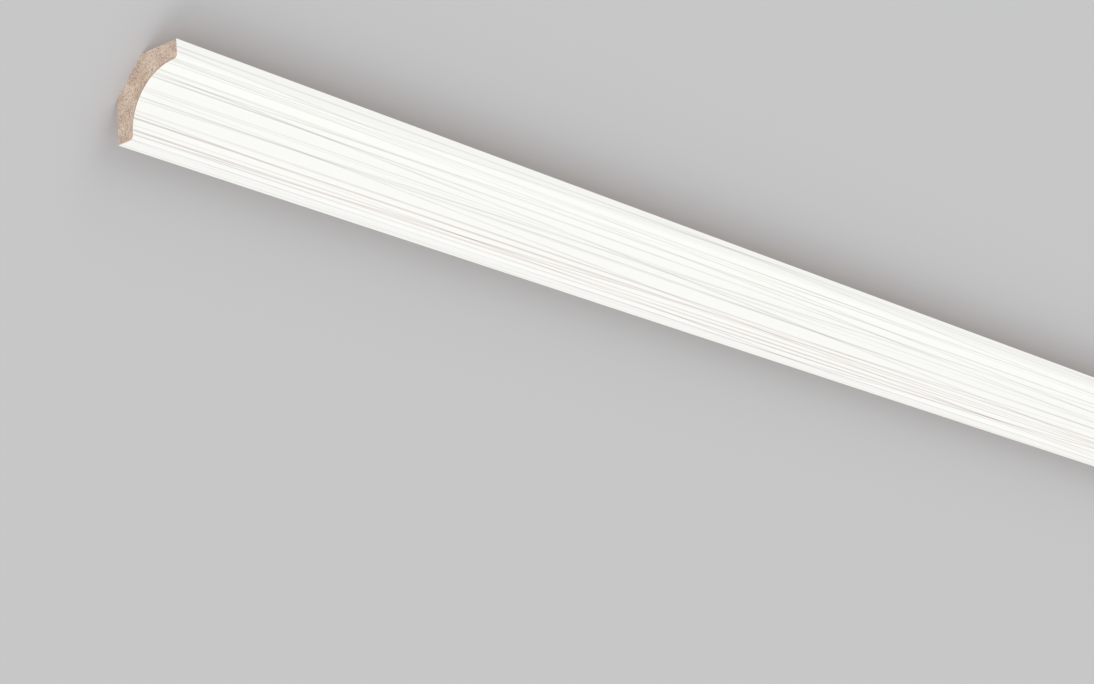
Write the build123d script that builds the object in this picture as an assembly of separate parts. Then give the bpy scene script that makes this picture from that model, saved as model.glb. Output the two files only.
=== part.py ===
from build123d import *

import os
from math import sqrt

# Ceiling cove moulding: a milled fibreboard strip with a decor foil glued over its show face.
#
# Frame: X along the length, Z up, millimetres. The strip lies as it would on a floor, on the flat
# across its back, with the hollow facing up. Origin: bottom centre of that flat, at mid-length.
# The section is drawn as an equal-leg angle in its own (u, v) axes. u runs along the ceiling face and
# v along the wall face, both from the corner that the flat across the back cuts away.

# Driving dimensions
LENGTH = 2380.0      # stock length
COVE_RADIUS = 29.0   # hollow of the show face
LIP = 10.0           # thickness of each lip, square to the face that it is fixed by
LIP_ROUND = 2.5      # rounding between the end of a lip and the hollow
LIP_LAND = 0.5       # short straight between that rounding and the hollow
WEB = 13.0           # thickness at the middle, from the flat across the back to the hollow
FOIL = 0.2           # decor foil, part of all the sizes above

# Sizes that follow from them
COVE_CENTRE = LIP + COVE_RADIUS                        # same in u and v
LEG = COVE_CENTRE + LIP_LAND + LIP_ROUND               # wall face and ceiling face, to the lost corner
BACK_DEPTH = sqrt(2) * COVE_CENTRE - COVE_RADIUS - WEB  # lost corner to the flat across the back
BACK_CHAMFER = sqrt(2) * BACK_DEPTH                    # what the flat takes off each leg


def nearest_vertex(sketch, u, v):
    """The corner of the sketch that lies at (u, v)."""
    return sketch.vertices().sort_by_distance((u, v, 0))[0]


def cove_section(inset):
    """The section with its show face set back by inset: an equal-leg angle whose inner corner is
    filled to the hollow, whose lips are rounded and whose back corner is cut off flat."""
    leg = LEG - inset
    lip = LIP - inset
    hollow = Pos(lip, lip) * Rectangle(leg - lip, leg - lip, align=Align.MIN)
    angle = Rectangle(leg, leg, align=Align.MIN) - hollow
    angle = fillet(nearest_vertex(angle, lip, lip), COVE_RADIUS + inset)
    for u, v in ((leg, lip), (lip, leg)):
        angle = fillet(nearest_vertex(angle, u, v), LIP_ROUND - inset)
    return chamfer(nearest_vertex(angle, 0, 0), BACK_CHAMFER)


def along_length(section):
    """The section carried along the stock length, turned so that its flat back lies on the floor."""
    saw_cut = Plane(origin=(-LENGTH / 2, 0, -BACK_DEPTH), x_dir=(0, 1, 1), z_dir=(1, 0, 0))
    return extrude(saw_cut * section, LENGTH)


core_section = cove_section(FOIL)
foil_section = cove_section(0) - core_section

pieces = {
    "mdf_core": along_length(core_section),
    "decor_foil": along_length(foil_section),
}

os.makedirs("parts", exist_ok=True)
for node, piece in pieces.items():
    export_step(piece, f"parts/{node}.step")

size = Compound(children=list(pieces.values())).bounding_box().size
print(f"leg {LEG:.2f}, flat across the back {2 * BACK_DEPTH:.2f}")
print(f"strip {size.X:.1f} long, {size.Y:.2f} wide, {size.Z:.2f} high")
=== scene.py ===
# %% [markdown]
# # A ceiling cove moulding in white fine-line foil
# This lesson dresses one length of cove moulding, the strip that covers the corner between a wall and
# a ceiling. The real one is fibreboard, milled to a hollow section, with a printed decor foil glued
# over its front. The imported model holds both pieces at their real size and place, but its curves are
# coarse facets. So it is loaded as a fixed frame, and each piece gets a finer surface in the same
# place, in metres, and then its finish.

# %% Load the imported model
from math import cos, pi, radians, sin, sqrt

import bpy
import numpy as np
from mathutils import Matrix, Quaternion, Vector


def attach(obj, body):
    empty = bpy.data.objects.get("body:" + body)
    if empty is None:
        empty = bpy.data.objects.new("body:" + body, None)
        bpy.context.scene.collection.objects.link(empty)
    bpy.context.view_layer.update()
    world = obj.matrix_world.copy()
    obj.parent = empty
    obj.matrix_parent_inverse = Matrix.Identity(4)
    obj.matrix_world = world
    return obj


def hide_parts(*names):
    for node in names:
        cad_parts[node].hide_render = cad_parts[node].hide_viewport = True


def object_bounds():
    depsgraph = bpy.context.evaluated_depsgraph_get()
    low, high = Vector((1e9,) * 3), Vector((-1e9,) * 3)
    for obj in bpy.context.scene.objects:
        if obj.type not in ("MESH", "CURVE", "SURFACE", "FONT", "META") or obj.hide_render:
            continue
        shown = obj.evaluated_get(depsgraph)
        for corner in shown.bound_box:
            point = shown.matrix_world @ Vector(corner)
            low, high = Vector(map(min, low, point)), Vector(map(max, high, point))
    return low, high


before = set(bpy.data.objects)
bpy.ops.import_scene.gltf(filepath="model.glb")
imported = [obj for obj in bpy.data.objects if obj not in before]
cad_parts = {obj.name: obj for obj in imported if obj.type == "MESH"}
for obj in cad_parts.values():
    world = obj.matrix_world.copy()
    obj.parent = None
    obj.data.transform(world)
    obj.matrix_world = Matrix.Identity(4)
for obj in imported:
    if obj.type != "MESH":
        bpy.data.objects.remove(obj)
cad_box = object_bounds()
print("packed nodes:", sorted(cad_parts))
print("packed box in mm:", [round(1000 * side, 2) for side in cad_box[1] - cad_box[0]])

# %% [markdown]
# ## The section
# A moulding is drawn by its section. This one is an equal-leg angle: one leg lies along the ceiling and
# one along the wall. u runs along the ceiling face and v along the wall face, both from the corner that
# a flat across the back cuts away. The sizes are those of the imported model, and the length comes from
# its box. The strip lies on that flat with its hollow up, so the section is turned by 45 degrees on its
# way into the frame.

# %% Sizes of the section
MM = 0.001
COVE_RADIUS = 29 * MM
LIP = 10 * MM
LIP_ROUND = 2.5 * MM
LIP_LAND = 0.5 * MM
WEB = 13 * MM
FOIL = 0.2 * MM

COVE_CENTRE = LIP + COVE_RADIUS
LEG = COVE_CENTRE + LIP_LAND + LIP_ROUND
BACK_DEPTH = sqrt(2) * COVE_CENTRE - COVE_RADIUS - WEB
BACK_CHAMFER = sqrt(2) * BACK_DEPTH
NEAR_END = cad_box[0].x
FAR_END = cad_box[1].x


def in_frame(section, x):
    """Places (u, v) points at x along the strip, by Y = (u - v) / sqrt 2 and
    Z = (u + v) / sqrt 2 - BACK_DEPTH."""
    x, u, v = np.broadcast_arrays(x, section[..., 0], section[..., 1])
    return np.stack([x, (u - v) / sqrt(2), (u + v) / sqrt(2) - BACK_DEPTH], axis=-1)


print(f"leg {LEG / MM:.2f} mm, flat across the back {2 * BACK_DEPTH / MM:.2f} mm")

# %% [markdown]
# ## Straights and arcs
# A milled outline is only straights and arcs, so two small functions are enough. Each gives its points
# from the start to just short of the end, so that stretches can follow one another with no point twice.
# A curve object with a bevel could carry such a section too, but an array keeps the distance along the
# outline, which the foil's print needs later.

# %% Outline of the show face
LIP_STEPS = 6
ROUND_STEPS = 10
LAND_STEPS = 2
HALF_COVE_STEPS = 36


def straight(start, end, steps):
    """Points start + (end - start) * i / steps, for i from 0 to steps - 1."""
    share = np.arange(steps)[:, None] / steps
    return (1 - share) * np.array(start) + share * np.array(end)


def arc(centre, radius, first, last, steps):
    """Points centre + radius * (cos a, sin a), with the angle a going from first to just short of last."""
    angle = first + (last - first) * np.arange(steps) / steps
    return np.array(centre) + radius * np.stack([np.cos(angle), np.sin(angle)], axis=1)


def mirrored(half):
    """A symmetric outline: half of it, the last point being in the middle, then the other half, which is
    the first one backwards with u and v exchanged."""
    return np.concatenate([half, half[-2::-1, ::-1]])


def half_hollow(inset, steps):
    """The hollow, set back by inset, from the ceiling lip's land to the middle of the section."""
    centre = (COVE_CENTRE, COVE_CENTRE)
    radius = COVE_RADIUS + inset
    middle = COVE_CENTRE - radius / sqrt(2)
    return np.concatenate([arc(centre, radius, -pi / 2, -3 * pi / 4, steps), [(middle, middle)]])


def show_face(inset):
    """The white side of the section, set back by inset, from the ceiling lip's tip to the wall lip's tip:
    the lip's end, its rounding, a short land and half of the hollow, then the same in mirror order."""
    return mirrored(np.concatenate([
        straight((LEG - inset, 0), (LEG - inset, LIP - LIP_ROUND), LIP_STEPS),
        arc((LEG - LIP_ROUND, LIP - LIP_ROUND), LIP_ROUND - inset, 0, pi / 2, ROUND_STEPS),
        straight((LEG - LIP_ROUND, LIP - inset), (COVE_CENTRE, LIP - inset), LAND_STEPS),
        half_hollow(inset, HALF_COVE_STEPS),
    ]))


def run_length(outline):
    """Distance along the outline from its first point to each point."""
    steps = np.linalg.norm(np.diff(outline, axis=0), axis=1)
    return np.concatenate([[0], np.cumsum(steps)])


face_outline = show_face(0)
glue_outline = show_face(FOIL)
across_face = run_length(face_outline)
FACE_WIDTH = across_face[-1]
print(f"show face: {len(face_outline)} points, {FACE_WIDTH / MM:.2f} mm wide when it is unrolled")

# %% [markdown]
# ## Grids, patches and pieces
# Every surface here is a grid of points. A patch keeps three grids of the same shape: the numbers of its
# points, where each one lies on the unrolled piece, and where it lies on the picture that the finish
# can be baked into. Patches that meet use the same point numbers along their common edge, so a piece
# is closed and has no doubled points. Edges sharper than a set angle stay crisp under smooth shading.

# %% Meshes from grids
SHARP_ANGLE = radians(40)


def sheet(rows, columns):
    """A grid of places: the first number goes with the row and the second with the column."""
    return np.stack(np.meshgrid(rows, columns, indexing="ij"), axis=-1)


def cells(grid):
    """The four corners of each cell of a grid, in order round the cell, for numbers and places alike."""
    corners = [grid[:-1, :-1], grid[:-1, 1:], grid[1:, 1:], grid[1:, :-1]]
    return np.stack(corners, axis=2).reshape(-1, 4, *grid.shape[2:])


def enclosed_volume(points, faces):
    """Volume inside the faces: the sum of a . (b x c) / 6 over their triangles. It is positive if they
    point outwards."""
    triangles = np.concatenate([faces[:, [0, 1, 2]], faces[:, [0, 2, 3]]])
    a, b, c = (points[triangles[:, corner]] for corner in range(3))
    return np.sum(a * np.cross(b, c)) / 6


def make_piece(name, points, patches):
    """A mesh object from its points and its patches, each of which is (numbers, unrolled, picture)."""
    faces = np.concatenate([cells(numbers) for numbers, _, _ in patches])
    mesh = bpy.data.meshes.new(name)
    mesh.from_pydata(points.tolist(), [], faces.tolist())
    for grid, layer in ((1, "unrolled"), (2, "OFBake")):
        places = np.concatenate([cells(patch[grid]) for patch in patches])
        mesh.uv_layers.new(name=layer).data.foreach_set("uv", places.astype(np.float32).ravel())
    mesh.shade_smooth()
    mesh.set_sharp_from_angle(angle=SHARP_ANGLE)
    piece = bpy.data.objects.new(name, mesh)
    bpy.context.scene.collection.objects.link(piece)
    volume = enclosed_volume(points, faces) / MM ** 3
    print(f"{name}: {len(points)} points, {len(faces)} faces, {volume:.0f} cubic mm inside")
    return piece


# %% [markdown]
# ## The decor foil
# The foil is a sheet a fifth of a millimetre thick that a wrapping machine presses over the lips and into
# the hollow. Solidify on an open sheet would do, but its rim would have no place of its own on the baked
# picture. So the show side and the glue side are two outlines with the same steps, carried along the
# length, and four narrow patches close the long edges and the ends. The show side gets nearly all of
# the picture, stretched to fill it, because its print is much finer across the strip than along it.

# %% Build the foil
FOIL_STATIONS = 41
MARGIN = 0.005
SHOW_BAND = (0.07, 0.995)
GLUE_BAND = (0.005, 0.015)
CEILING_EDGE_BAND = (0.02, 0.025)
WALL_EDGE_BAND = (0.03, 0.035)
NEAR_RIM_BAND = (0.04, 0.045)
FAR_RIM_BAND = (0.05, 0.055)


def band(edges, share):
    """Heights on the baked picture: share 0 is the lower edge of the band and share 1 the upper one."""
    return edges[0] + (edges[1] - edges[0]) * np.asarray(share)


stations = np.linspace(NEAR_END, FAR_END, FOIL_STATIONS)
picture_along = np.linspace(MARGIN, 1 - MARGIN, FOIL_STATIONS)
face_share = across_face / FACE_WIDTH
picture_across = band((MARGIN, 1 - MARGIN), face_share)
both_sides = np.stack([face_outline, glue_outline])
foil_points = in_frame(both_sides[:, None], stations[:, None])
show, glue = np.arange(foil_points[..., 0].size).reshape(foil_points.shape[:-1])
on_face = sheet(stations, across_face)
foil_patches = [
    (show, on_face, sheet(picture_along, band(SHOW_BAND, face_share))),
    (glue[:, ::-1], on_face[:, ::-1], sheet(picture_along, band(GLUE_BAND, face_share))),
]
for edge, columns, spread in ((0, (glue, show), CEILING_EDGE_BAND), (-1, (show, glue), WALL_EDGE_BAND)):
    numbers = np.stack([side[:, edge] for side in columns], axis=1)
    foil_patches.append((numbers, sheet(stations, [across_face[edge]] * 2), sheet(picture_along, spread)))
for end, columns, spread in ((0, (show, glue), NEAR_RIM_BAND), (-1, (glue, show), FAR_RIM_BAND)):
    numbers = np.stack([side[end] for side in columns], axis=1)
    rim_place = sheet(across_face, [stations[end]] * 2)[..., ::-1]
    foil_patches.append((numbers, rim_place, sheet(picture_across, spread)))
foil = make_piece("foil_facing", foil_points.reshape(-1, 3), foil_patches)

# %% [markdown]
# ## The sawn end
# At the saw cut the fibreboard core shows its fibres: a soft, slightly torn surface with faint curved
# marks from the blade. A bump in the material could fake it, but here the end is a real grid of small
# cells, and each point is set back by a few hundredths of a millimetre. The relief is smooth random
# heights in two sizes, plus ripples that run round the saw's centre like rings in water.

# %% Relief of a saw cut
COARSE_FIBRES = (1.1 * MM, 0.05 * MM)
FINE_FIBRES = (0.55 * MM, 0.035 * MM)
BLADE_CENTRE = (150 * MM, 95 * MM)
BLADE_MARKS = (1.7 * MM, 0.02 * MM)
NOISE_TILE = 97


def soft_heights(section, cell, seed):
    """Smooth random heights from 0 to 1 over the section: random numbers at the corners of square cells,
    blended across each cell by the curve 3t^2 - 2t^3."""
    table = np.random.default_rng(seed).random((NOISE_TILE, NOISE_TILE))
    place = section / cell
    corner = np.floor(place).astype(int)
    part = place - corner
    ease = part * part * (3 - 2 * part)
    i, j = np.moveaxis(corner % NOISE_TILE, -1, 0)
    next_i, next_j = (i + 1) % NOISE_TILE, (j + 1) % NOISE_TILE
    low = table[i, j] * (1 - ease[..., 0]) + table[next_i, j] * ease[..., 0]
    high = table[i, next_j] * (1 - ease[..., 0]) + table[next_i, next_j] * ease[..., 0]
    return low * (1 - ease[..., 1]) + high * ease[..., 1]


def sawn_depth(section, seed):
    """How far each point of a saw cut lies behind the plane of the cut."""
    pitch, ripple = BLADE_MARKS
    reach = np.linalg.norm(section - np.array(BLADE_CENTRE), axis=-1)
    depth = ripple * (0.5 + 0.5 * np.cos(2 * pi * reach / pitch))
    for number, (cell, height) in enumerate((COARSE_FIBRES, FINE_FIBRES)):
        depth = depth + height * soft_heights(section, cell, seed + number)
    return depth


deepest = COARSE_FIBRES[1] + FINE_FIBRES[1] + BLADE_MARKS[1]
print(f"the relief of a saw cut is {deepest / MM:.3f} mm deep at most")

# %% [markdown]
# ## The section as a grid
# The cut needs points inside the section too. A Coons patch fills any four-sided outline: it blends the
# two long sides, adds the blend of the two short sides, and takes away what the corners added twice.
# Here the long sides are the glued face and the back, and the short sides are the lips' ends. Each
# lip's rounding is shared out between the two sides that meet in its middle.

# %% Fill the section
HALF_ROUND_STEPS = 6
LIP_END_STEPS = 30
CORE_LAND_STEPS = 6
CORE_HALF_COVE_STEPS = 96
BACK_STEPS = 72


def core_sides():
    """The four sides of the core's section: glued face, back, ceiling lip's end and wall lip's end. The
    first two run from the ceiling lip to the wall lip, the others from the glued face to the back."""
    leg = LEG - FOIL
    lip = LIP - FOIL
    round_centre = (LEG - LIP_ROUND, LIP - LIP_ROUND)
    radius = LIP_ROUND - FOIL
    glued = mirrored(np.concatenate([
        arc(round_centre, radius, pi / 4, pi / 2, HALF_ROUND_STEPS),
        straight((LEG - LIP_ROUND, lip), (COVE_CENTRE, lip), CORE_LAND_STEPS),
        half_hollow(FOIL, CORE_HALF_COVE_STEPS),
    ]))
    back = np.concatenate([
        straight((leg, 0), (BACK_CHAMFER, 0), BACK_STEPS),
        straight((BACK_CHAMFER, 0), (0, BACK_CHAMFER), BACK_STEPS),
        straight((0, BACK_CHAMFER), (0, leg), BACK_STEPS),
        [(0, leg)],
    ])
    lip_end = np.concatenate([
        arc(round_centre, radius, pi / 4, 0, HALF_ROUND_STEPS),
        straight((leg, LIP - LIP_ROUND), (leg, 0), LIP_END_STEPS),
        [(leg, 0)],
    ])
    return glued, back, lip_end, lip_end[:, ::-1]


def coons_patch(front, back, first, last):
    """Points between four sides: (1-q) front(p) + q back(p) + (1-p) first(q) + p last(q), less the corners
    weighted by both shares. p goes along front and back, and q from front to back."""
    p = np.linspace(0, 1, len(front))[:, None, None]
    q = np.linspace(0, 1, len(first))[None, :, None]
    along = (1 - q) * front[:, None] + q * back[:, None]
    between = (1 - p) * first[None] + p * last[None]
    corners = (1 - q) * ((1 - p) * front[0] + p * front[-1]) + q * ((1 - p) * back[0] + p * back[-1])
    return along + between - corners


section = coons_patch(*core_sides())
depth_below_foil = np.linalg.norm(section - section[:, :1], axis=-1)
print(f"section grid: {section.shape[0]} by {section.shape[1]} points, "
      f"{depth_below_foil.max() / MM:.2f} mm deep at most")

# %% [markdown]
# ## The fibreboard core
# The core is one milled strip, so it is one piece: the section's grid at each end, and its rim carried
# along the length between them. The rim of the near grid is the first row of the long faces and the
# rim of the far grid the last, so that the sawn edges are shared. Most of the long faces' picture goes
# to the bare back, since the foil hides the rest.

# %% Build the core
CORE_STATIONS = 21
NEAR_BAND = (0.69, 0.835)
FAR_BAND = (0.845, 0.99)
GLUED_BAND = (0.005, 0.03)
WALL_LIP_BAND = (0.035, 0.045)
BACK_BAND = (0.055, 0.68)
CEILING_LIP_BAND = (0.05, 0.053)
NEAR_SEED = 11
FAR_SEED = 23


def rim(grid):
    """What lies round a grid's edge, back to the first corner: glued face, wall lip, back, ceiling lip."""
    return np.concatenate([grid[:-1, 0], grid[-1, :-1], grid[:0:-1, -1], grid[0, ::-1]])


section_rim = rim(section)
between_ends = np.linspace(NEAR_END, FAR_END, CORE_STATIONS)[1:-1]
near_points = in_frame(section, NEAR_END + sawn_depth(section, NEAR_SEED))
far_points = in_frame(section, FAR_END - sawn_depth(section, FAR_SEED))
rim_points = in_frame(section_rim[None, :-1], between_ends[:, None])
core_points = np.concatenate([part.reshape(-1, 3) for part in (near_points, far_points, rim_points)])
near_numbers, far_numbers = np.arange(2 * depth_below_foil.size).reshape(2, *depth_below_foil.shape)
rim_numbers = 2 * depth_below_foil.size + np.arange(rim_points[..., 0].size).reshape(len(between_ends), -1)
rim_numbers = np.concatenate([rim_numbers, rim_numbers[:, :1]], axis=1)
long_numbers = np.concatenate([[rim(near_numbers)], rim_numbers, [rim(far_numbers)]])

p_share = np.linspace(0, 1, section.shape[0])
q_share = np.linspace(0, 1, section.shape[1])
picture_of_section = band((MARGIN, 1 - MARGIN), p_share)
below_foil = np.stack([np.broadcast_to(p_share[:, None], depth_below_foil.shape), depth_below_foil], -1)
core_patches = [
    (near_numbers, below_foil, sheet(picture_of_section, band(NEAR_BAND, q_share))),
    (far_numbers[:, ::-1], below_foil[:, ::-1], sheet(picture_of_section, band(FAR_BAND, q_share[::-1]))),
]
core_along = np.linspace(MARGIN, 1 - MARGIN, CORE_STATIONS)
long_places = sheet(np.linspace(NEAR_END, FAR_END, CORE_STATIONS), rim(depth_below_foil))
side_steps = [section.shape[0] - 1, section.shape[1] - 1] * 2
first = 0
for steps, edges in zip(side_steps, (GLUED_BAND, WALL_LIP_BAND, BACK_BAND, CEILING_LIP_BAND)):
    side = slice(first, first + steps + 1)
    picture = sheet(core_along, band(edges, np.linspace(0, 1, steps + 1)))
    core_patches.append((long_numbers[:, side], long_places[:, side], picture))
    first += steps
core = make_piece("fibreboard_core", core_points, core_patches)

# %% [markdown]
# ## Formulas as materials
# A material is a net of nodes, and a formula with ten Math nodes is hard to read as a net. The class
# Value wraps one output socket, and Python's operators on it add the Math nodes, so a formula in the
# script looks like a formula. Four curves that finishes need are methods: floor is a staircase, rise a
# smooth step, bell a smooth bump, and between turns 0 to 1 into the way from one number to another.

# %% Values
class Value:
    """One output socket of a material, which Python's operators can calculate with."""

    def __init__(self, finish, socket):
        self.finish = finish
        self.socket = socket

    def math(self, operation, *terms):
        return self.finish.node("ShaderNodeMath", {"operation": operation}, dict(enumerate(terms)))

    def __add__(self, other):
        return self.math("ADD", self, other)

    def __sub__(self, other):
        return self.math("SUBTRACT", self, other)

    def __rsub__(self, other):
        return self.math("SUBTRACT", other, self)

    def __mul__(self, other):
        return self.math("MULTIPLY", self, other)

    def __truediv__(self, other):
        return self.math("DIVIDE", self, other)

    def __gt__(self, other):
        return self.math("GREATER_THAN", self, other)

    def __abs__(self):
        return self.math("ABSOLUTE", self)

    __radd__ = __add__
    __rmul__ = __mul__

    def floor(self):
        """The whole number just below."""
        return self.math("FLOOR", self)

    def rise(self, low, high):
        """0 below low, 1 above high, and a smooth S between them."""
        return self.finish.node("ShaderNodeMapRange", {"interpolation_type": "SMOOTHSTEP"},
                                {"Value": self, "From Min": low, "From Max": high})

    def bell(self, centre, width):
        """1 at the centre, falling as e^(-d^2) where d is the distance in widths."""
        off = (self - centre) / width
        return self.math("EXPONENT", 0 - off * off)

    def between(self, low, high):
        """low where this is 0, high where it is 1, and in proportion between them."""
        return low + (high - low) * self


# %% [markdown]
# ## A material under construction
# All nodes come from one method, Finish.node: it adds a node, sets it up and gives one of its outputs as a
# Value. A node can be added by hand in the Shader Editor as well, but a script can be run again after each
# change. Colours are written as the 0 to 255 numbers that a picture of the object shows. Shaders calculate
# in linear light, where twice the number is twice the light, so paint converts them.

# %% Finishes and colours
class Finish:
    """A material under construction."""

    def __init__(self, name):
        self.material = bpy.data.materials.new(name)
        self.material.use_nodes = True
        self.tree = self.material.node_tree
        self.shader = self.tree.nodes["Principled BSDF"]

    def join(self, socket, term):
        """Gives a socket a value, or a link from a Value."""
        if isinstance(term, Value):
            self.tree.links.new(term.socket, socket)
        else:
            socket.default_value = term

    def node(self, kind, settings=None, sockets=None, output=0):
        """Adds a node, sets its settings and then its sockets, and gives one of its outputs."""
        made = self.tree.nodes.new(kind)
        for name, setting in (settings or {}).items():
            setattr(made, name, setting)
        for name, term in (sockets or {}).items():
            self.join(made.inputs[name], term)
        return Value(self, made.outputs[output])

    def parts(self, vector):
        """The three numbers of a vector or a colour."""
        return [self.node("ShaderNodeSeparateXYZ", None, {0: vector}, axis) for axis in range(3)]

    def mix(self, share, one, other):
        """A colour between one, at share 0, and other, at share 1."""
        return self.node("ShaderNodeMix", {"data_type": "RGBA"}, {0: share, 6: one, 7: other}, 2)

    def surface(self, **sockets):
        """Feeds the shader's own sockets."""
        for name, term in sockets.items():
            self.join(self.shader.inputs[name.replace("_", " ")], term)


def paint(red, green, blue):
    """A colour as a picture shows it, from 0 to 255, in the linear light that shaders use."""
    shown = np.array([red, green, blue]) / 255
    linear = np.where(shown > 0.04045, ((shown + 0.055) / 1.055) ** 2.4, shown / 12.92)
    return (*linear.tolist(), 1)


print("a grey of 128 in a picture is", round(paint(128, 128, 128)[0], 3), "in linear light")

# %% [markdown]
# ## The fine-line print
# The foil is printed with thin warm grey lines along the strip, like fine brush marks. They are long and
# nearly parallel, a few millimetres apart, and the darkest ones lie low on the face. An image could hold
# them, but a formula has no resolution. Eight leading lines are given one by one. The rest come in layers:
# each layer cuts the unrolled face into lanes that slant a little, and every lane has one line, whose
# random numbers say where it lies in the lane, how dark it is and how wide. A slow noise lets each line
# sway, and another one lets it fade in and out. Layers with different slants cross, as the real lines do.

# %% Lines of the print
LEADING_LINES = (
    {"place": 3.2 * MM, "width": 0.95 * MM, "weight": 0.18},
    {"place": 13.4 * MM, "width": 1.0 * MM, "weight": 0.24},
    {"place": 22.6 * MM, "width": 0.95 * MM, "weight": 0.22},
    {"place": 35.2 * MM, "width": 0.9 * MM, "weight": 0.22},
    {"place": 39.4 * MM, "width": 0.9 * MM, "weight": 0.24},
    {"place": 49.4 * MM, "width": 1.0 * MM, "weight": 0.36},
    {"place": 53.0 * MM, "width": 0.95 * MM, "weight": 0.30},
    {"place": 57.4 * MM, "width": 1.0 * MM, "weight": 0.36},
)
LINE_LAYERS = (
    {"lane": 5.6 * MM, "slant": 0.001, "width": 1.0 * MM, "weight": 0.4},
    {"lane": 11.5 * MM, "slant": 0.025, "width": 1.0 * MM, "weight": 0.38},
    {"lane": 14.0 * MM, "slant": -0.016, "width": 1.0 * MM, "weight": 0.38},
)

# How quickly a line sways, fades and gets uneven, in metres along the strip
SWAY_LENGTH = 0.9
FADE_LENGTH = 0.35
BRISTLE_LENGTH = 0.04

# Where a line's edge softens, in half widths, when it fades, and the least and most ink that is left
SOFT_EDGE = (0.5, 1.0)
FADE_RISE = (0.3, 0.6)
FADE_INK = (0.5, 1.0)
BRISTLE_INK = (0.7, 1.3)

# Where a layer's line lies and how far it sways, in lanes, and its least and most width and ink
LANE_SPOT = (0.2, 0.8)
LANE_SWAY = 0.35
LANE_WIDTH = (0.7, 1.3)
LANE_INK = (0.6, 1.0)

# How far a leading line sways, and the step that keeps the noises of different lines apart
LEADING_SWAY = 2.5 * MM
LANE_STEP = 17.3


def noise(finish, detail, **sockets):
    """A smooth random pattern from 0 to 1, along one number W or over a Vector."""
    dimensions = "1D" if "W" in sockets else "3D"
    sockets = {"Scale": 1, "Detail": detail, **sockets}
    return finish.node("ShaderNodeTexNoise", {"noise_dimensions": dimensions}, sockets)


def printed_line(finish, along, off, width, number):
    """Ink of one line at the distance off from its middle: full inside, none past half its width. It fades
    slowly and is a little uneven along its length, in a way of its own for each number."""
    line = 1 - (abs(off) / (width / 2)).rise(*SOFT_EDGE)
    fade = noise(finish, 1, W=along / FADE_LENGTH + number).rise(*FADE_RISE)
    bristle = noise(finish, 2, W=along / BRISTLE_LENGTH - number)
    return line * fade.between(*FADE_INK) * bristle.between(*BRISTLE_INK)


def line_layer(finish, along, across, number, lane, slant, width, weight):
    """Ink of one layer of lines, from 0 to 1."""
    lane_place = (across - slant * along) / lane + LANE_STEP * number
    lane_number = lane_place.floor()
    chance = finish.node("ShaderNodeTexWhiteNoise", {"noise_dimensions": "1D"}, {"W": lane_number}, "Color")
    spot, dark, broad = finish.parts(chance)
    own_number = LANE_STEP * lane_number
    sway = noise(finish, 0, W=along / SWAY_LENGTH + own_number)
    off = (lane_place - lane_number - spot.between(*LANE_SPOT) - LANE_SWAY * (sway - 0.5)) * lane
    line = printed_line(finish, along, off, width * broad.between(*LANE_WIDTH), own_number)
    return weight * line * dark.between(*LANE_INK)


def leading_line(finish, along, across, number, place, width, weight):
    """Ink of one line that runs the whole length near a chosen place."""
    own_number = LANE_STEP * number
    sway = noise(finish, 0, W=along / SWAY_LENGTH - own_number)
    off = across - place - LEADING_SWAY * (sway - 0.5)
    return weight * printed_line(finish, along, off, width, own_number)


lines_in_layers = [round(FACE_WIDTH / layer["lane"]) for layer in LINE_LAYERS]
print(f"{len(LEADING_LINES)} leading lines and", lines_in_layers, "lines in the layers")

# %% [markdown]
# ## White decor foil
# Where lines overlap, what is left of the white is the product of what each leaves. The lines are fainter
# in the upper part of the hollow and on the wall lip, and the ceiling lip's tip is blank. Low on the face
# the grey ink has a tinge of rose. Fine streaks along the strip split the ink into hairs and, very
# faintly, keep the ground from looking like a flat fill. The foil has a dull satin gloss, and the ink
# is duller still.

# %% White decor foil finish
FOIL_WHITE = paint(252, 252, 248)
STREAK_WHITE = paint(250, 250, 246)
LINE_GREY = paint(157, 155, 148)
LINE_ROSE = paint(173, 144, 141)

# Places across the unrolled face: the crowded band's middle and width, and where two changes start and end
CROWDED_LOW = (53 * MM, 9 * MM)
WALL_LIP = (60 * MM, 64 * MM)
CEILING_TIP = (1 * MM, 3 * MM)

# Ink outside and inside the crowded band, and what of it is left on the wall lip
CROWD_INK = (0.74, 1)
WALL_LIP_INK = 0.55

# Width and length of the streaks, and what they do to the ink and to the ground
STREAKS = (0.55 * MM, 0.25)
HAIR_RISE = (0.3, 0.7)
HAIR_INK = (0.6, 1.4)
GROUND_RISE = (0.45, 0.75)

# Gloss and relief
INK_ROUGHNESS = 0.7
FOIL_ROUGHNESS = 0.6
FOIL_GLOSS = 0.2
PRINT_RELIEF = 0.01 * MM


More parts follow.
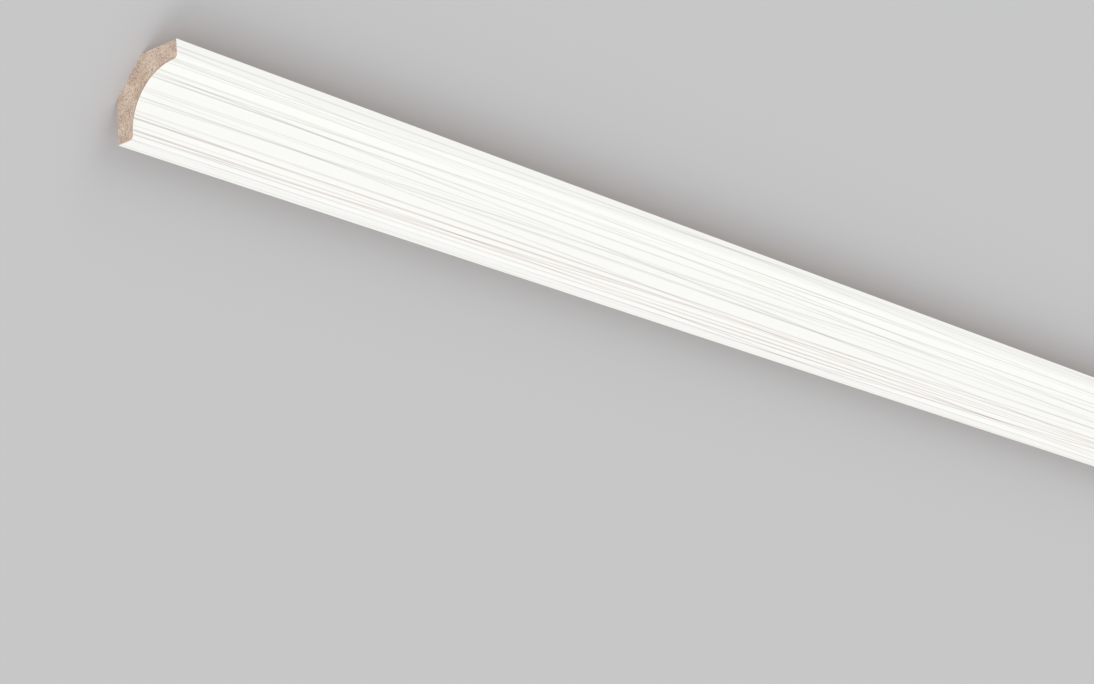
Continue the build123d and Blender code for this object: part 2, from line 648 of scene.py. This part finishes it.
def white_decor_foil():
    """Satin white foil with its printed lines."""
    finish = Finish("white_decor_foil")
    along, across, _ = finish.parts(finish.node("ShaderNodeUVMap", {"uv_map": "unrolled"}))
    blank = 1
    for number, layer in enumerate(LINE_LAYERS, start=1):
        blank = blank * (1 - line_layer(finish, along, across, number, **layer))
    low = across.bell(*CROWDED_LOW)
    on_wall_lip = across.rise(*WALL_LIP)
    crowd = low.between(*CROWD_INK) * on_wall_lip.between(1, WALL_LIP_INK) * across.rise(*CEILING_TIP)
    blank = 1 - crowd * (1 - blank)
    for number, line in enumerate(LEADING_LINES, start=1):
        blank = blank * (1 - leading_line(finish, along, across, number, **line))
    fine, long = STREAKS
    streak_place = finish.node("ShaderNodeCombineXYZ", None, {"X": along / long, "Y": across / fine})
    streaks = noise(finish, 1, Vector=streak_place)
    blank = 1 - (1 - blank) * streaks.rise(*HAIR_RISE).between(*HAIR_INK)
    ground = finish.mix(streaks.rise(*GROUND_RISE), FOIL_WHITE, STREAK_WHITE)
    press = finish.node("ShaderNodeBump", None, {"Distance": PRINT_RELIEF, "Height": 0.5 * streaks + blank})
    colour = finish.mix(1 - blank, ground, finish.mix(low, LINE_GREY, LINE_ROSE))
    roughness = blank.between(INK_ROUGHNESS, FOIL_ROUGHNESS)
    finish.surface(Base_Color=colour, Roughness=roughness, Specular_IOR_Level=FOIL_GLOSS, Normal=press)
    return finish.material


foil_finish = white_decor_foil()
print("the foil's finish has", len(foil_finish.node_tree.nodes), "nodes")

# %% [markdown]
# ## Raw fibreboard
# Fibreboard is wood ground to fibres and pressed with resin: an even tan felt, with slivers of darker bark
# and of paler fibre that lie in all directions. A noise alone looks like clouds, so the slivers are cells
# of Voronoi patterns. A Mapping node turns each pattern and draws it out, a fine noise makes the cells
# ragged, and each cell's random number says whether it is dark, pale or plain. The slivers are strong
# where the saw tore the fibres. On the long faces the cutter laid them down, so there they are faint and
# drawn out along the strip. At a cut, a thin darker band lies under the foil, where the glue is.

# %% Raw fibreboard finish
BOARD_TAN = paint(199, 174, 155)
BOARD_PINK = paint(223, 201, 183)
BOARD_DARK = paint(120, 94, 72)
BOARD_PALE = paint(246, 229, 209)
GLUE_BROWN = paint(150, 121, 96)

# Clouds and felt: their sizes, where their noise turns dark or pale, and the felt's relief
MILLED_STRETCH = (0.2, 1, 1)
CLOUD = 6 * MM
CLOUD_RISE = (0.35, 0.65)
FELT = 0.7 * MM
DARK_FELT = (0.5, 0.72)
PALE_FELT = (0.28, 0.5)
FELT_RELIEF = 0.1 * MM
FELT_ROUGHNESS = (0.75, 0.9)

# Slivers: their size, directions, the share that is dark or pale, and how ragged they are
SLIVER = 0.5 * MM
SLIVER_DRAWN_OUT = (1, 1, 2.6)
SLIVER_TURNS = (radians(25), radians(85), radians(145))
SLIVER_SHARE = 0.13
SLIVER_EDGE = (0.25, 0.75)
TANGLE = 0.35 * MM
RAGGED = 0.5 * MM

# Glue under the foil
GLUE_LINE = 1.3 * MM
GLUE_STAIN = 0.55

# A face is a sawn end if the part of its normal along the strip is larger than this
LOOKS_ALONG = 0.5

# How strong each of these is on the milled faces and on the sawn ends
CLOUDING = (0.3, 1)
GRAIN = (0.15, 0.7)
SPLINTERS = (0.12, 0.77)
FUZZ = (0.2, 1)


def slivers(finish, place, turn):
    """Dark slivers and pale ones, each from 0 to 1, with their length turned round X by turn."""
    turned = finish.node("ShaderNodeMapping", {"vector_type": "TEXTURE"},
                         {"Vector": place, "Rotation": (turn, 0, 0), "Scale": SLIVER_DRAWN_OUT})
    cell = {"Vector": turned, "Scale": 1 / SLIVER}
    chance = finish.parts(finish.node("ShaderNodeTexVoronoi", None, cell, "Color"))[0]
    inside = 1 - finish.node("ShaderNodeTexVoronoi", None, cell, "Distance").rise(*SLIVER_EDGE)
    return (chance > 1 - SLIVER_SHARE) * inside, (1 - (chance > SLIVER_SHARE)) * inside


def raw_fibreboard():
    """Tan fibreboard. Its slivers are strong on the sawn ends, and faint and drawn out elsewhere."""
    finish = Finish("raw_fibreboard")
    coordinates = "ShaderNodeTexCoord"
    place = finish.node(coordinates, None, None, "Object")
    place = finish.node("ShaderNodeMapping", None, {"Vector": place, "Scale": MILLED_STRETCH})
    facing = finish.parts(finish.node(coordinates, None, None, "Normal"))[0]
    sawn = abs(facing) > LOOKS_ALONG
    clouds = noise(finish, 2, Vector=place, Scale=1 / CLOUD)
    felt = noise(finish, 4, Vector=place, Scale=1 / FELT, Roughness=0.7)
    depth = finish.parts(finish.node("ShaderNodeUVMap", {"uv_map": "unrolled"}))[1]
    glue = (1 - depth.rise(0.0, GLUE_LINE)) * sawn
    shade = 0.5 + sawn.between(*CLOUDING) * (clouds.rise(*CLOUD_RISE) - 0.5)
    grain = sawn.between(*GRAIN)
    colour = finish.mix(shade, BOARD_TAN, BOARD_PINK)
    colour = finish.mix(felt.rise(*DARK_FELT) * grain, colour, BOARD_DARK)
    colour = finish.mix((1 - felt.rise(*PALE_FELT)) * grain, colour, BOARD_PALE)
    tangle = finish.node("ShaderNodeTexNoise", None,
                         {"Vector": place, "Scale": 1 / TANGLE, "Detail": 2}, "Color")
    ragged = finish.node("ShaderNodeVectorMath", {"operation": "MULTIPLY_ADD"},
                         {0: tangle, 1: (RAGGED, RAGGED, RAGGED), 2: place})
    strength = sawn.between(*SPLINTERS)
    for turn in SLIVER_TURNS:
        dark, pale = slivers(finish, ragged, turn)
        colour = finish.mix(strength * dark, colour, BOARD_DARK)
        colour = finish.mix(strength * pale, colour, BOARD_PALE)
    colour = finish.mix(GLUE_STAIN * glue, colour, GLUE_BROWN)
    height = felt * sawn.between(*FUZZ)
    fuzz = finish.node("ShaderNodeBump", None, {"Distance": FELT_RELIEF, "Height": height})
    finish.surface(Base_Color=colour, Roughness=felt.between(*FELT_ROUGHNESS), Normal=fuzz)
    return finish.material


board_finish = raw_fibreboard()
print("the board's finish has", len(board_finish.node_tree.nodes), "nodes")

# %% [markdown]
# ## Dress the pieces
# Each new piece takes its finish, rides on the one body of the part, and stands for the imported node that
# it covers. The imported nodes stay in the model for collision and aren't shown.

# %% Finishes and nodes
dressed = (
    (foil, foil_finish, "decor_foil", "white_decor_foil"),
    (core, board_finish, "mdf_core", "raw_fibreboard"),
)
for piece, finish, node, slot in dressed:
    piece.data.materials.append(finish)
    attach(piece, "root")
    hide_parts(node)
    print(piece.name, "stands for", node, "in", slot)

# %% [markdown]
# ## Floor and light
# The floor is a plain pale grey, a good step darker than the white foil so that its edges show. The light
# is a bright even sky and three suns, made so wide that their shadows are soft: two stand low beside the
# strip, one on each side, and one shines on the sawn end. Low light from the sides reaches the walls of
# the hollow, which look half sideways. Together they light a white surface to just under white, so every
# colour shows about as it is written.

# %% Studio
FLOOR_GREY = paint(196, 196, 197)
FLOOR_HALF = 30.0
FLOOR_DROP = 0.02 * MM
SKY = 0.68
SUN_WIDTH = radians(50)

floor_mesh = bpy.data.meshes.new("floor")
corner_signs = ((-1, -1), (1, -1), (1, 1), (-1, 1))
floor_corners = [(x * FLOOR_HALF, y * FLOOR_HALF, -FLOOR_DROP) for x, y in corner_signs]
floor_mesh.from_pydata(floor_corners, [], [(0, 1, 2, 3)])
floor = bpy.data.objects.new("floor", floor_mesh)
bpy.context.scene.collection.objects.link(floor)
floor_finish = Finish("pale_floor")
floor_finish.surface(Base_Color=FLOOR_GREY, Roughness=0.9)
floor_mesh.materials.append(floor_finish.material)

world = bpy.data.worlds.new("studio")
bpy.context.scene.world = world
world.use_nodes = True
world.node_tree.nodes["Background"].inputs["Color"].default_value = (SKY, SKY, SKY, 1)


def soft_sun(name, azimuth, elevation, strength):
    """A wide sun with soft shadows, shining from an azimuth, counted round Z from +X, and an elevation."""
    lamp = bpy.data.lights.new(name, "SUN")
    lamp.energy = strength
    lamp.angle = SUN_WIDTH
    sun = bpy.data.objects.new(name, lamp)
    turn, lift = radians(azimuth), radians(elevation)
    source = Vector((cos(lift) * cos(turn), cos(lift) * sin(turn), sin(lift)))
    sun.rotation_euler = source.to_track_quat("Z", "Y").to_euler()
    bpy.context.scene.collection.objects.link(sun)
    print(f"{name} sun: {azimuth} degrees round, {elevation} degrees up, strength {strength}")


soft_sun("ceiling_side", azimuth=100, elevation=30, strength=0.68)
soft_sun("wall_side", azimuth=-100, elevation=30, strength=0.75)
soft_sun("sawn_end", azimuth=180, elevation=30, strength=0.7)
bpy.context.scene.view_settings.view_transform = "Standard"

# %% [markdown]
# ## The camera
# The picture that this part follows shows the strip from its sawn end, running away to the lower right. Its
# camera was worked out from the strip's straight edges and from the section's known shape: where the
# edges meet gives the direction of the strip, and how fast it narrows gives the distance. The camera is
# tilted far over, because the strip there hangs as it would under a ceiling, while here it lies flat.

# %% Camera
PHOTO = (1094, 684)
SENSOR = 36.0
FOCAL_PIXELS = 3302.1
CAMERA_PLACE = Vector((-2.24561, 0.28758, 1.18353))
HEADING = radians(-13.870)
PITCH = radians(-38.788)
ROLL = radians(128.657)

camera_data = bpy.data.cameras.new("camera")
camera_data.sensor_width = SENSOR
camera_data.lens = FOCAL_PIXELS * SENSOR / PHOTO[0]
camera = bpy.data.objects.new("camera", camera_data)
looks = Vector((cos(PITCH) * cos(HEADING), cos(PITCH) * sin(HEADING), sin(PITCH)))
turn = looks.to_track_quat("-Z", "Y") @ Quaternion((0, 0, 1), ROLL)
camera.location = CAMERA_PLACE
camera.rotation_euler = turn.to_euler()
bpy.context.scene.collection.objects.link(camera)
bpy.context.scene.camera = camera


def photo_pixel(point):
    """Where a point of the frame lies in the 1094 by 684 picture."""
    seen = turn.inverted() @ (Vector(point) - CAMERA_PLACE)
    return [round(PHOTO[axis] / 2 + FOCAL_PIXELS * side * seen[axis] / -seen.z, 1)
            for axis, side in ((0, 1), (1, -1))]


tips = in_frame(np.array([(LEG, 0), (0, LEG)]), NEAR_END)
print("lens", round(camera_data.lens, 2), "mm")
print("the near end's tips lie at", [photo_pixel(tip) for tip in tips])
